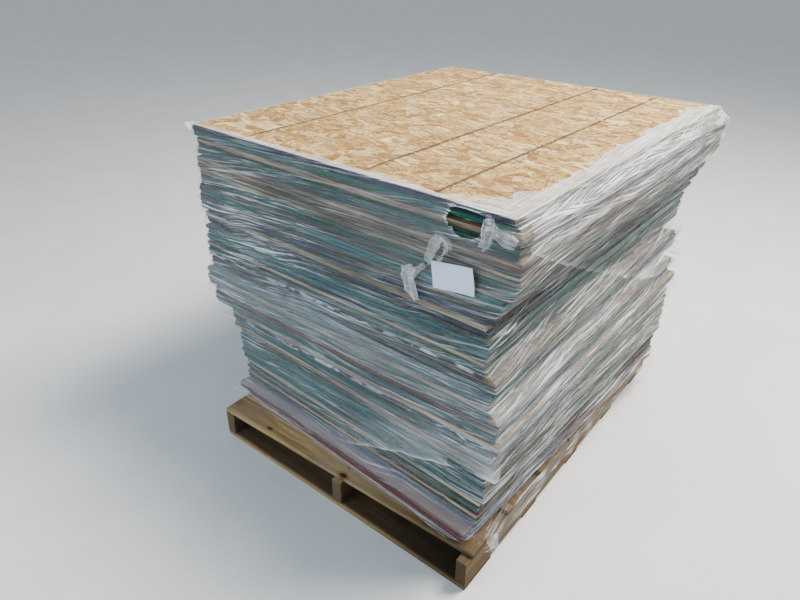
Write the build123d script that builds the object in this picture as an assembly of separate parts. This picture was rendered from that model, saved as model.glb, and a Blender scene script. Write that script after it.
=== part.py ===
from build123d import *

import os
from dataclasses import dataclass
from math import cos, radians, sin, tan
from random import Random

# Frame: millimetres, +Z up. The origin is the centre of the pallet's underside.
# +X runs along the fork entry end, +Y runs along the stringers, away from that end.
# The near corner is the one at +X and -Y.

# Pallet
STRINGER_LENGTH = 1361.0
STRINGER_HEIGHT = 90.0
STRINGER_THICKNESS = 33.0
PALLET_WIDTH = 1036.0
MIDDLE_STRINGER_OFFSET = 26.0
BOARD_THICKNESS = 14.5
LEAD_BOARD_WIDTH = 140.0
INNER_BOARD_WIDTH = 95.0
BOTTOM_BOARD_WIDTH = 90.0
DECK_BOARDS = 7
BOTTOM_BOARDS = 5
LEAD_BOARD_SKEW = 1.7
LEAD_BOARD_SKEW_ROOM = 6.0

# Panels, in the thicknesses that the mills sell: 7/16, 15/32, 19/32 and 23/32 inch
THIN = 11.1
USUAL = 11.9
FLOOR = 15.1
HEAVY = 18.3
# Each panel lies off its lift's place by up to the jog
SEAT_GAP = 0.3
PANEL_JOG = 5.0
JOG_SEED = 7

# Stretch film
FILM_THICKNESS = 1.0
FILM_CLEARANCE = 1.5
FILM_DRAPE = 24.0
DRAPED_LIFT_HEIGHT = 60.0
FRONT_FOLD = 34.0
SIDE_FOLD = 62.0
CORNER_FOLD = 105.0
HEM_DROP = 62.0
HEM_STANDOFF = 1.5
TEAR_INSET = 66.0
TEAR_WIDTH = 113.0
TEAR_DROP = 6.0
TEAR_HEIGHT = 63.0
# The tear's ragged outline, as shares of its width from the right and its height from the top
TEAR_OUTLINE = [
    (0.04, 0.05), (0.88, 0.0), (0.76, 0.3), (1.0, 0.7),
    (0.79, 0.95), (0.37, 1.0), (0.15, 0.75), (0.0, 0.35),
]

# Paper label on the film's near face
LABEL_WIDTH = 125.0
LABEL_HEIGHT = 72.0
LABEL_THICKNESS = 0.6
LABEL_INSET = 137.0
LABEL_DROP = 175.6
LABEL_TILT = -9.0
LABEL_CLEARANCE = 0.3
LABEL_SEATING_PASSES = 4

DECK_UNDERSIDE = BOARD_THICKNESS + STRINGER_HEIGHT
DECK_TOP = DECK_UNDERSIDE + BOARD_THICKNESS


@dataclass
class Lift:
    """Panels of one cut size that lie squarely on each other, from the bottom one up.

    corner is the near corner in plan, yaw turns the lift about it, and runs are
    (edge, thickness, count) from the bottom up.
    """
    width: float
    length: float
    corner: tuple
    yaw: float
    runs: list


LIFTS = [
    Lift(1050, 1250, (474, -632), -3.7, [("dusky_red", HEAVY, 1), ("raw", THIN, 1)]),
    Lift(1036, 1210, (492, -592), -2.7, [
        ("blue", HEAVY, 1), ("raw", THIN, 3), ("red_brown", THIN, 1),
        ("green", USUAL, 2), ("raw", FLOOR, 1)]),
    Lift(1066, 1215, (500, -590), -2.7, [
        ("teal", USUAL, 7), ("green", USUAL, 2), ("raw", FLOOR, 1)]),
    Lift(1095, 1205, (505, -588), -2.4, [("raw", USUAL, 1), ("teal", FLOOR, 3)]),
    Lift(1080, 1285, (524, -586), -1.0, [("navy", FLOOR, 1), ("raw", HEAVY, 1)]),
    Lift(1150, 1265, (515, -582), -0.6, [
        ("teal", USUAL, 2), ("red_brown", FLOOR, 1), ("teal", THIN, 1), ("raw", THIN, 1)]),
    Lift(1150, 1370, (481, -580), -0.6, [
        ("green", HEAVY, 1), ("raw", HEAVY, 1), ("teal", USUAL, 2)]),
    Lift(1140, 1235, (497, -575), -0.7, [
        ("teal", USUAL, 2), ("blue", THIN, 1), ("raw", THIN, 1)]),
    Lift(1116, 1400, (461, -570), -0.8, [
        ("navy", FLOOR, 1), ("green", USUAL, 2), ("raw", THIN, 1), ("teal", USUAL, 5)]),
    Lift(1120, 1428, (456, -564), -1.3, [("blue", THIN, 2), ("raw", HEAVY, 1)]),
    Lift(1166, 1450, (468, -558), -1.4, [("blue", USUAL, 2), ("raw", THIN, 1)]),
    Lift(1186, 1440, (481, -556), -1.4, [("teal", USUAL, 3)]),
    Lift(1206, 1335, (504, -552), -1.5, [("raw", THIN, 1), ("green", FLOOR, 2)]),
    Lift(1219, 1420, (522, -548), -1.5, [("raw", USUAL, 5)]),
    Lift(1225, 1440, (509, -540), -2.0, [("green", USUAL, 3), ("raw", HEAVY, 1)]),
    Lift(1219, 1415, (484, -530), -1.8, [("green", HEAVY, 1), ("top", HEAVY, 1)]),
]


def box_between(low, high):
    """A box from its lowest to its highest corner."""
    size = [b - a for a, b in zip(low, high)]
    middle = [(a + b) / 2 for a, b in zip(low, high)]
    return Pos(*middle) * Box(*size)


def save(name, shape):
    """Write one node; several solids in it stay apart as one compound."""
    shape.label = name
    export_step(shape, os.path.join("parts", name + ".step"))


# Pallet

def stringers():
    """Three planks on edge, from left to right."""
    outer = (PALLET_WIDTH - STRINGER_THICKNESS) / 2
    places = {"left": -outer, "middle": MIDDLE_STRINGER_OFFSET, "right": outer}
    plank = Box(STRINGER_THICKNESS, STRINGER_LENGTH, STRINGER_HEIGHT)
    middle = BOARD_THICKNESS + STRINGER_HEIGHT / 2
    return {side: Pos(x, 0, middle) * plank for side, x in places.items()}


def spread(count, lead_width):
    """Middles of boards that share the stringer's length, the end ones flush with its ends."""
    reach = STRINGER_LENGTH - lead_width
    return [-reach / 2 + reach * i / (count - 1) for i in range(count)]


def deck_boards():
    """Deck boards from the near end; the first one is nailed on askew."""
    boards = []
    for i, y in enumerate(spread(DECK_BOARDS, LEAD_BOARD_WIDTH)):
        at_end = i in (0, DECK_BOARDS - 1)
        width = LEAD_BOARD_WIDTH if at_end else INNER_BOARD_WIDTH
        board = Pos(0, y, DECK_TOP - BOARD_THICKNESS / 2) * Box(PALLET_WIDTH, width, BOARD_THICKNESS)
        boards.append(board)
    pivot = (-PALLET_WIDTH / 2, -STRINGER_LENGTH / 2)
    skew = Axis((*pivot, 0), (0, 0, 1))
    boards[0] = boards[0].rotate(skew, LEAD_BOARD_SKEW)
    boards[0] = Pos(LEAD_BOARD_SKEW_ROOM / 2, 0, 0) * boards[0]
    return boards


def bottom_boards():
    """Bottom boards; the middle one lies over the origin."""
    boards = []
    for i, y in enumerate(spread(BOTTOM_BOARDS, LEAD_BOARD_WIDTH)):
        at_end = i in (0, BOTTOM_BOARDS - 1)
        width = LEAD_BOARD_WIDTH if at_end else BOTTOM_BOARD_WIDTH
        board = Pos(0, y, BOARD_THICKNESS / 2) * Box(PALLET_WIDTH, width, BOARD_THICKNESS)
        boards.append(board)
    return boards


# Panels

def corners(lift, margin=0.0):
    """Plan corners of a lift: near, front left, back left, back right, moved out by margin."""
    across = (cos(radians(lift.yaw)), sin(radians(lift.yaw)))
    along = (-across[1], across[0])
    points = []
    for w, l, sx, sy in ((0, 0, 1, -1), (1, 0, -1, -1), (1, 1, -1, 1), (0, 1, 1, 1)):
        x = lift.corner[0] - w * lift.width * across[0] + l * lift.length * along[0]
        y = lift.corner[1] - w * lift.width * across[1] + l * lift.length * along[1]
        points.append((x + sx * margin, y + sy * margin))
    return points


def stack_panels():
    """Every panel seated on the one below, by edge colour, and each lift's height range."""
    jog = Random(JOG_SEED)
    panels = {}
    ranges = []
    z = DECK_TOP
    for lift in LIFTS:
        bottom = z
        near, _, back_left, _ = corners(lift)
        middle = ((near[0] + back_left[0]) / 2, (near[1] + back_left[1]) / 2)
        for edge, thickness, count in lift.runs:
            for _ in range(count):
                z += SEAT_GAP
                x = middle[0] + jog.uniform(-PANEL_JOG, PANEL_JOG)
                y = middle[1] + jog.uniform(-PANEL_JOG, PANEL_JOG)
                sheet = Box(lift.width, lift.length, thickness)
                place = Pos(x, y, z + thickness / 2) * Rot(0, 0, lift.yaw)
                panels.setdefault(edge, []).append(place * sheet)
                z += thickness
        ranges.append((bottom, z))
    return panels, ranges


# Stretch film

def outermost(first, second):
    """Of two sets of plan corners, the outer one at each corner."""
    picks = ((max, min), (min, min), (min, max), (max, max))
    return [(px(a[0], b[0]), py(a[1], b[1])) for (px, py), a, b in zip(picks, first, second)]


def film_levels(ranges, outward):
    """Heights and plan corners of the film's inner face, or that face moved outward.

    Between two lifts it spans from the outer one, and it lies on a lift's own
    corners FILM_DRAPE away from that edge.
    """
    margin = PANEL_JOG + FILM_CLEARANCE + outward
    own = [corners(lift, margin) for lift in LIFTS]
    hem_x = PALLET_WIDTH / 2 + LEAD_BOARD_SKEW_ROOM + HEM_STANDOFF + outward
    slope = tan(radians(LIFTS[0].yaw))
    flared = list(own[0])
    for i in (0, 3):
        x, y = own[0][i]
        out = max(0.0, hem_x - x)
        flared[i] = (x + out, y + out * slope)
    levels = [(DECK_TOP - HEM_DROP, flared), (DECK_TOP + SEAT_GAP, flared)]
    for i, (bottom, top) in enumerate(ranges):
        if i > 0:
            levels.append((bottom, outermost(own[i - 1], own[i])))
        if top - bottom > DRAPED_LIFT_HEIGHT:
            levels.append((bottom + FILM_DRAPE, own[i]))
            levels.append((top - FILM_DRAPE, own[i]))
    levels.append((ranges[-1][1] + SEAT_GAP + FILM_THICKNESS, own[-1]))
    return levels


def film_hull(levels):
    """Solid through the film's levels, with straight stretches between them."""
    sections = []
    for z, points in levels:
        outline = Polyline(*[(x, y, z) for x, y in points], close=True)
        sections.append(make_face(outline))
    return loft(sections, ruled=True)


def film_fold(top, outer):
    """Film folded flat over the top panel along its near and right edges."""
    near, front_left, _, back_right = outer
    width = front_left[0] - near[0]
    length = back_right[1] - near[1]
    turn = LIFTS[-1].yaw
    outline = Polyline(
        (0, 0),
        (width, 0),
        (width, FRONT_FOLD),
        (-CORNER_FOLD - FRONT_FOLD, FRONT_FOLD),
        (-CORNER_FOLD, CORNER_FOLD),
        (-SIDE_FOLD, CORNER_FOLD + SIDE_FOLD),
        (-SIDE_FOLD, length),
        (0, length),
        close=True,
    )
    fold = extrude(make_face(outline), FILM_THICKNESS)
    return Pos(near[0], near[1], top + SEAT_GAP) * Rot(0, 0, turn) * fold


def film_tear(top, near):
    """What is torn out of the film's near face, next to the near corner and under the top."""
    x = near[0] - TEAR_INSET
    z = top - TEAR_DROP
    outline = Polyline(
        *[(x - across * TEAR_WIDTH, near[1], z - down * TEAR_HEIGHT) for across, down in TEAR_OUTLINE],
        close=True)
    return extrude(make_face(outline), TEAR_WIDTH / 2, dir=(0, 1, 0), both=True)


def stretch_film(ranges):
    """The wrap: a thin wall round the stack, open above, with a hem over the right stringer."""
    outer = film_levels(ranges, FILM_THICKNESS)
    inner = film_levels(ranges, 0.0)
    film = film_hull(outer) - film_hull(inner)
    side = PALLET_WIDTH / 2 + LEAD_BOARD_SKEW_ROOM
    reach = 2 * STRINGER_LENGTH
    below_deck = box_between((-reach, -reach, 0), (side, reach, DECK_TOP + SEAT_GAP))
    film -= below_deck
    beyond_pallet = STRINGER_LENGTH / 2
    for y in (-reach, beyond_pallet):
        film -= box_between((0, y, 0), (reach, y + reach - beyond_pallet, DECK_TOP + SEAT_GAP))
    top = ranges[-1][1]
    film += film_fold(top, outer[-1][1])
    return film - film_tear(top, outer[-1][1][0])


def label(film, top):
    """Paper tag turned with the top lift and slid in until it is seated on the film."""
    near_x = LIFTS[-1].corner[0]
    card = Rot(0, 0, LIFTS[-1].yaw) * Rot(0, LABEL_TILT, 0) * Box(
        LABEL_WIDTH, LABEL_THICKNESS, LABEL_HEIGHT)
    card = Pos(near_x - LABEL_INSET, film.bounding_box().min.Y, top - LABEL_DROP) * card
    for _ in range(LABEL_SEATING_PASSES):
        card = Pos(0, card.distance_to(film) - LABEL_CLEARANCE, 0) * card
    return card


def main():
    os.makedirs("parts", exist_ok=True)
    for side, plank in stringers().items():
        save("stringer_" + side, plank)
    for i, board in enumerate(deck_boards()):
        save(f"deck_board_{i + 1}", board)
    for i, board in enumerate(bottom_boards()):
        save(f"bottom_board_{i + 1}", board)
    panels, ranges = stack_panels()
    for edge, sheets in panels.items():
        name = "top_panel" if edge == "top" else edge + "_edge_panels"
        save(name, sheets[0] if len(sheets) == 1 else Compound(children=sheets))
    film = stretch_film(ranges)
    stack_top = ranges[-1][1]
    save("stretch_film", film)
    save("label", label(film, stack_top))
    print("stack top", round(stack_top, 1), "panels", sum(map(len, panels.values())))


main()
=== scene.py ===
import math

import bpy
import numpy as np
from mathutils import Matrix, Vector


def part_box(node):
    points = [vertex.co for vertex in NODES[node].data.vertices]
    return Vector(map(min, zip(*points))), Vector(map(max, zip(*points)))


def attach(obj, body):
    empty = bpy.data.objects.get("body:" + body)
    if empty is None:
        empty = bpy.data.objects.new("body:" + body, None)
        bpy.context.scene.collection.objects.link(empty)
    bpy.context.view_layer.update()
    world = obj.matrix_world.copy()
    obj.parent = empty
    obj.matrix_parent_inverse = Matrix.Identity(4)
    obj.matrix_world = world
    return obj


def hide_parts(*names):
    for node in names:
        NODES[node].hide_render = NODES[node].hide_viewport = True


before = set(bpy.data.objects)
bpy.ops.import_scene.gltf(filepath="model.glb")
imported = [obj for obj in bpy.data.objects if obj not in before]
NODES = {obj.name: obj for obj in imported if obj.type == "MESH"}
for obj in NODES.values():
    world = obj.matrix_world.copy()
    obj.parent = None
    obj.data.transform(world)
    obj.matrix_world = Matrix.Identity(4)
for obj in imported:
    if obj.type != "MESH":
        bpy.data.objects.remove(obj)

SCENE = bpy.context.scene
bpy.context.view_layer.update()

# Metres and radians throughout, unless a name says otherwise
CAMERA_PLACE = (1.08096, -1.68478, 1.59334)
CAMERA_DEGREES = (38.538, 29.861, -0.348)     # azimuth, elevation and roll
LENS_MM, FILM_MM = 28.473, 36.0

# Sides of the stack, as pairs of plan corners: 0 near, 1 front left, 2 back left, 3 back right
FRONT, RIGHT, BACK, LEFT = (1, 0), (0, 3), (3, 2), (2, 1)
LOOP = (FRONT, RIGHT, BACK, LEFT)
OUTWARD = np.array([(1, -1), (-1, -1), (-1, 1), (1, 1)], float)


# Camera and light

def add_camera():
    """The photograph's viewpoint: 800 x 600, looking down at the near corner."""
    azimuth, elevation, roll = (math.radians(a) for a in CAMERA_DEGREES)
    data = bpy.data.cameras.new("camera")
    data.sensor_width = FILM_MM
    data.lens = LENS_MM
    camera = bpy.data.objects.new("camera", data)
    camera.matrix_world = (Matrix.Translation(CAMERA_PLACE) @ Matrix.Rotation(azimuth, 4, "Z")
                           @ Matrix.Rotation(math.pi / 2 - elevation, 4, "X")
                           @ Matrix.Rotation(-roll, 4, "Z"))
    SCENE.collection.objects.link(camera)
    SCENE.camera = camera


def add_lamp(name, place, target, size, watts, colour):
    data = bpy.data.lights.new(name, "AREA")
    data.shape = "RECTANGLE"
    data.size, data.size_y = size
    data.energy = watts
    data.color = colour
    lamp = bpy.data.objects.new(name, data)
    lamp.location = place
    lamp.rotation_euler = (Vector(target) - Vector(place)).to_track_quat("-Z", "Y").to_euler()
    SCENE.collection.objects.link(lamp)


def add_world():
    """Soft even light, seen as a pale backdrop."""
    t = Tree("world", "worlds")
    t.nodes.clear()
    path = t.node("ShaderNodeLightPath")
    seen = t.value(path, "Is Camera Ray")
    for ray in ("Is Glossy Ray", "Is Transmission Ray"):
        seen = t.math("MAXIMUM", seen, t.value(path, ray))
    light, backdrop = (
        t.value(t.node("ShaderNodeBackground", Color=(*colour, 1), Strength=strength))
        for colour, strength in (((0.80, 0.90, 1.0), 0.58), ((0.80, 0.81, 0.82), 1.0)))
    mix = t.node("ShaderNodeMixShader")
    t.put(mix.inputs, (seen, light, backdrop))
    t.put(t.node("ShaderNodeOutputWorld").inputs, [t.value(mix)])
    SCENE.world = t.owner


# Small helpers

def smooth(share):
    return share * share * (3 - 2 * share)


def ease(value, low, high):
    """Softly from 0 at low to 1 at high; from 1 to 0 where high is the lower one."""
    return smooth(np.clip((value - low) / (high - low), 0, 1))


def bell(value, middle, width, power=2):
    """1 at the middle, falling off over the width; the power makes it flatter on top."""
    return np.exp(-np.abs((value - middle) / width) ** power)


def wander(at, step, rng):
    """Smooth random values from -1 to 1 along a line, turning about every step."""
    at = np.asarray(at, float) / step
    low = int(np.floor(at.min())) - 1
    values = rng.uniform(-1, 1, int(np.ceil(at.max())) - low + 3)
    cell = np.floor(at).astype(int)
    part = smooth(at - cell)
    return values[cell - low] * (1 - part) + values[cell - low + 1] * part


def field(u, v, step_u, step_v, rng):
    """Smooth random values from -1 to 1 over a surface, turning about every step each way."""
    u, v = np.broadcast_arrays(u, v)
    a, b = u / step_u, v / step_v
    low_a, low_b = int(np.floor(a.min())), int(np.floor(b.min()))
    count = int(np.floor(a.max())) - low_a + 3, int(np.floor(b.max())) - low_b + 3
    values = rng.uniform(-1, 1, count)
    i, j = np.floor(a).astype(int), np.floor(b).astype(int)
    p, q = smooth(a - i), smooth(b - j)
    i, j = i - low_a, j - low_b
    return ((values[i, j] * (1 - p) + values[i + 1, j] * p) * (1 - q)
            + (values[i, j + 1] * (1 - p) + values[i + 1, j + 1] * p) * q)


def mesh_points(node):
    return np.array([v.co for v in NODES[node].data.vertices], float)


def grid_faces(rows, count, start=0, closed=False, skip=None):
    """Quads of a grid whose points are numbered row by row; skip marks those to leave out."""
    faces = []
    for r in range(rows - 1):
        a = start + r * count
        for c in range(count if closed else count - 1):
            if skip is None or c == count - 1 or not skip[r, c]:
                d = (c + 1) % count
                faces.append((a + c, a + d, a + count + d, a + count + c))
    return faces


def add_mesh(name, points, faces, materials, indices=None, flat=False):
    """A piece on the root body, from its points and faces."""
    mesh = bpy.data.meshes.new(name)
    mesh.from_pydata([tuple(p) for p in points], [], faces)
    for material in materials:
        mesh.materials.append(material)
    if indices is not None:
        mesh.polygons.foreach_set("material_index", indices)
    mesh.polygons.foreach_set("use_smooth", [not flat] * len(mesh.polygons))
    mesh.update()
    piece = bpy.data.objects.new(name, mesh)
    SCENE.collection.objects.link(piece)
    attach(piece, "root")
    return piece


def add_values(piece, name, values):
    attribute = piece.data.attributes.new(name, "FLOAT", "POINT")
    attribute.data.foreach_set("value", np.asarray(values, np.float32).ravel())


# Materials

def sign(operation, turned=False):
    """A method of Value that adds the Math node of one arithmetic sign."""
    def method(self, *others):
        return self.tree.math(operation, *((*others, self) if turned else (self, *others)))
    return method


class Value:
    """What a socket gives: each arithmetic sign on it adds a Math node to its tree."""

    def __init__(self, tree, socket):
        self.tree = tree
        self.socket = socket

    __add__, __radd__ = sign("ADD"), sign("ADD", True)
    __sub__, __rsub__ = sign("SUBTRACT"), sign("SUBTRACT", True)
    __mul__, __pow__, __abs__ = sign("MULTIPLY"), sign("POWER"), sign("ABSOLUTE")


class Tree:
    """Short calls for a material's or world's nodes, which take numbers, tuples and Values."""

    def __init__(self, name, kind="materials"):
        self.owner = getattr(bpy.data, kind).new(name)
        self.owner.use_nodes = True
        self.nodes = self.owner.node_tree.nodes
        self.links = self.owner.node_tree.links

    def put(self, sockets, values):
        for socket, value in zip(sockets, values):
            if isinstance(value, Value):
                self.links.new(value.socket, socket)
            else:
                socket.default_value = value

    def node(self, kind, settings=None, **values):
        made = self.nodes.new(kind)
        for key, value in (settings or {}).items():
            setattr(made, key, value)
        self.put([made.inputs[key.replace("_", " ")] for key in values], values.values())
        return made

    def value(self, made, output=0):
        return Value(self, made.outputs[output])

    def values(self, made):
        return [Value(self, socket) for socket in made.outputs]

    def math(self, operation, *values):
        made = self.node("ShaderNodeMath", {"operation": operation})
        self.put(made.inputs, values)
        return self.value(made)

    def vector(self, operation, *values):
        made = self.node("ShaderNodeVectorMath", {"operation": operation})
        self.put(made.inputs, values)
        return self.value(made)

    def place(self):
        return self.value(self.node("ShaderNodeTexCoord"), "Object")

    def parts(self, vector):
        return self.values(self.node("ShaderNodeSeparateXYZ", Vector=vector))

    def height(self):
        return self.parts(self.place())[2]

    def join(self, x, y, z):
        return self.value(self.node("ShaderNodeCombineXYZ", X=x, Y=y, Z=z))

    def attribute(self, name):
        return self.value(self.node("ShaderNodeAttribute", {"attribute_name": name}), "Fac")

    def map(self, vector, scale=(1, 1, 1), turn=0.0, shift=(0, 0, 0)):
        return self.value(self.node("ShaderNodeMapping", Vector=vector, Scale=scale,
                                    Rotation=(0, 0, turn), Location=shift))

    def noise(self, vector, scale, detail=3.0, rough=0.55, warp=0.0, turn=0.0, shift=(0, 0, 0)):
        """Noise at one scale, or at one for each axis, which also takes a turn and a shift."""
        if isinstance(scale, tuple):
            vector, scale = self.map(vector, scale, turn, shift), 1.0
        return self.value(self.node("ShaderNodeTexNoise", Vector=vector, Scale=scale,
                                    Detail=detail, Roughness=rough, Distortion=warp), "Fac")

    def steps(self, value, low, high, first=0.0, last=1.0):
        """value carried from low..high to first..last, held at both ends."""
        return self.value(self.node("ShaderNodeMapRange", {"clamp": True}, Value=value,
                                    From_Min=low, From_Max=high, To_Min=first, To_Max=last))

    def mix(self, share, first, second, blend="MIX"):
        """A mixed colour."""
        made = self.node("ShaderNodeMix", {"data_type": "RGBA", "blend_type": blend})
        self.put([made.inputs[n] for n in (0, 6, 7)], (share, first, second))
        return self.value(made, 2)

    def between(self, share, first, second):
        """A mixed number."""
        made = self.node("ShaderNodeMix")
        self.put([made.inputs[n] for n in (0, 2, 3)], (share, first, second))
        return self.value(made)

    def ramp(self, value, stops):
        made = self.nodes.new("ShaderNodeValToRGB")
        elements = made.color_ramp.elements
        while len(elements) < len(stops):
            elements.new(0.5)
        for element, (place, colour) in zip(elements, stops):
            element.position = place
            element.color = colour
        self.put(made.inputs, [value])
        return self.value(made)

    def bump(self, height, depth, strength):
        return self.value(self.node("ShaderNodeBump", Height=height, Distance=depth,
                                    Strength=strength))

    def finish(self, **values):
        """The finished material, with these values on its shader."""
        shader = self.nodes["Principled BSDF"]
        self.put([shader.inputs[key.replace("_", " ")] for key in values], values.values())
        return self.owner


def rgb(red, green, blue):
    """A colour as seen, 0 to 255, in the linear values that the shaders take."""
    def line(c):
        c /= 255
        return c / 12.92 if c <= 0.04045 else ((c + 0.055) / 1.055) ** 2.4
    return (line(red), line(green), line(blue), 1.0)


# Turn in degrees, length and width of a strand, and the share of the layer's cells
STRAND_LAYERS = (
    (5, 0.150, 0.044, 1.00), (-35, 0.126, 0.037, 0.66), (30, 0.136, 0.040, 0.58),
    (70, 0.116, 0.038, 0.38), (-12, 0.118, 0.030, 0.52), (-58, 0.108, 0.033, 0.28),
    (16, 0.104, 0.023, 0.42),
)
STRAND_TONES = (
    (0.0, rgb(150, 108, 60)), (0.20, rgb(182, 140, 82)), (0.50, rgb(208, 170, 106)),
    (0.80, rgb(226, 192, 128)), (1.0, rgb(255, 240, 188)),
)
# Scale, turn, threshold and colour of the thin splinters, dark ones and pale ones
NEEDLES = (
    ((20, 300, 1), 0.35, 0.58, (92, 60, 30)), ((24, 280, 1), -0.5, 0.58, (98, 66, 34)),
    ((26, 210, 1), 0.05, 0.59, (104, 72, 38)), ((20, 300, 1), 0.1, 0.63, (255, 240, 190)),
    ((24, 300, 1), -0.28, 0.64, (252, 232, 176)),
)
GUIDE_LINES = (0.236, 0.479, 0.964)           # in from the top sheet's right edge
TOP_SHEET_DEGREES = 1.83
FOOT = (0.1505, 0.1495)                       # the two lowest sheets end here, from above
UPPER_SHEETS = (0.975, 0.990)                 # from here up the sheets are lighter and less darkened
DECK_BOTTOM = 0.1
# Where the painted shade of the pallet's inside begins: across, lengthwise and from above
PALLET_INSIDE = ((0.514, 0.507), (0.6795, 0.672), (0.1055, 0.098))


def strand_layer(t, place, turn, length, width, seed):
    """One layer of flat wood strands: the distance inside the edge, random values and grain."""
    turned = t.map(place, turn=math.radians(turn), shift=(seed * 0.37, seed * 0.53, 0))
    torn = t.noise(turned, (70, 460, 1), detail=2.0)
    cells = t.node(
        "ShaderNodeTexVoronoi", {"voronoi_dimensions": "2D", "distance": "CHEBYCHEV"},
        Vector=t.map(turned, scale=(1 / length, 1 / width, 1)), Scale=1.0)
    inside = 0.40 - t.value(cells, "Distance") - torn * 0.10
    chance = t.values(t.node("ShaderNodeSeparateColor", Color=t.value(cells, "Color")))
    grain = t.noise(turned, (9, 180, 1), detail=4.0, rough=0.75)
    return inside, chance, grain


def strand_face(t, place):
    """Colour and height of a pressed strand face."""
    colour = rgb(206, 174, 130)
    height = 0.4
    for seed, (turn, length, width, share) in enumerate(STRAND_LAYERS, 1):
        inside, (first, second, third), grain = strand_layer(t, place, turn, length, width, seed)
        present = t.math("LESS_THAN", first, share)
        wood = t.ramp(t.math("FRACT", first * 7.0), STRAND_TONES)
        wood = t.mix(t.steps(second, 0.6, 1.0, 0.0, 0.34), wood, rgb(178, 140, 98))
        wood = t.mix(t.steps(grain, 0.44, 0.66, 0.0, 0.66), wood, rgb(134, 96, 52))
        shade = t.steps(inside, -0.035, 0.0) * present
        mask = t.steps(inside, 0.0, 0.02) * present
        colour = t.mix(shade * 0.9, colour, rgb(84, 56, 28))
        colour = t.mix(mask * 0.86, colour, wood)
        height = t.between(mask, height - shade * 0.12, third * 0.5 + grain * 0.2)
    for scale, turn, rare, tone in NEEDLES:
        sliver = t.noise(place, scale, detail=2.0, turn=turn, shift=(turn, scale[1], 0))
        colour = t.mix(t.steps(sliver, rare, rare + 0.07, 0.0, 0.8), colour, rgb(*tone))
    specks = t.noise(place, (70, 130, 1), detail=2.0, rough=0.6, shift=(5, 2, 0))
    colour = t.mix(t.steps(specks, 0.61, 0.66, 0.0, 0.85), colour, rgb(80, 54, 30))
    return colour, height


def foot_stain(t, noise, least):
    """How far the two lowest sheets are stained red, by a noise."""
    return t.steps(noise, 0.36, 0.60, least, 0.85) * t.steps(t.height(), *FOOT)


def face_material():
    """Bare pressed strands, for the broad faces of the sheets between others."""
    t = Tree("strand_face")
    place = t.place()
    colour, height = strand_face(t, place)
    # Painted shade: the faces between sheets and on the ledges are darkened as if in the shadow
    # between the lifts
    colour = t.mix(0.78, colour, rgb(56, 48, 40))
    stained = foot_stain(t, t.noise(place, (5, 30, 1)), 0.45)
    colour = t.mix(stained, colour, rgb(172, 122, 112))
    return t.finish(Base_Color=colour, Roughness=0.72, Specular_IOR_Level=0.12,
                    Normal=t.bump(height, 0.0012, 0.8))


def top_material():
    """The top sheet's face: strands, ruled guide lines and a little weather."""
    t = Tree("top_face")
    place = t.place()
    colour, height = strand_face(t, place)
    near_x, near_y = sheet_quads("top_panel")[0][0][0]
    local = t.map(t.vector("SUBTRACT", place, (near_x, near_y, 0.0)),
                  turn=math.radians(TOP_SHEET_DEGREES))
    waver = (t.noise(place, 14.0) - 0.5) * 0.004
    x = t.parts(local)[0] + waver
    broken = t.steps(t.noise(place, (40, 40, 1)), 0.30, 0.48, 0.45, 1.0)
    half_width = t.steps(t.noise(place, (30, 85, 1), detail=1.0), 0.42, 0.62, 0.0036, 0.0066)
    for inset in GUIDE_LINES:
        line = t.steps(abs(x + inset) - half_width, 0.0, 0.0014, 1.0, 0.0) * broken
        colour = t.mix(line * 0.9, colour, rgb(58, 47, 36))
    grime = t.noise(place, 3.2, detail=4.0)
    colour = t.mix(t.steps(grime, 0.52, 0.75, 0.0, 0.16), colour, rgb(168, 146, 110))
    return t.finish(Base_Color=colour, Roughness=0.7, Specular_IOR_Level=0.12,
                    Normal=t.bump(height, 0.002, 1.0))


def raw_edge(t, place, wear_and_shade):
    """Colour and height of a sawn edge, where the strands show as thin broken layers."""
    z = t.height()
    layers = t.noise(place, (8, 8, 330), detail=4.0, rough=0.7, warp=0.3)
    coarse = t.noise(place, (2.6, 2.6, 110), detail=2.0)
    value = layers * 0.62 + coarse * 0.46
    value = value + (t.attribute("tone") - 0.5) * 0.22
    value = value + t.steps(z, *UPPER_SHEETS, 0.0, 0.06)
    colour = t.ramp(value, [
        (0.38, rgb(26, 21, 18)), (0.45, rgb(76, 62, 50)), (0.52, rgb(138, 118, 94)),
        (0.60, rgb(178, 156, 126)), (0.76, rgb(224, 208, 180))])
    stained = foot_stain(t, t.noise(place, (5, 5, 60), shift=(1, 1, 2)), 0.30)
    colour = t.mix(stained, colour, rgb(146, 82, 88))
    # Dark grey patches on a bare edge: part dust and wear, part painted shade of the film over it.
    # The last argument darkens them further, which on the cut edges of the right side is painted
    # shade of that side.
    shaded = t.noise(place, (4.5, 4.5, 55), rough=0.6, shift=(4, 1, 6))
    worn_and_shaded = (t.steps(shaded, 0.42, 0.56, wear_and_shade, 0.62 + wear_and_shade * 0.4)
            * t.steps(z, *UPPER_SHEETS, 1.0, 0.35 + wear_and_shade * 0.5))
    return t.mix(worn_and_shaded, colour, rgb(64, 58, 52)), layers


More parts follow.
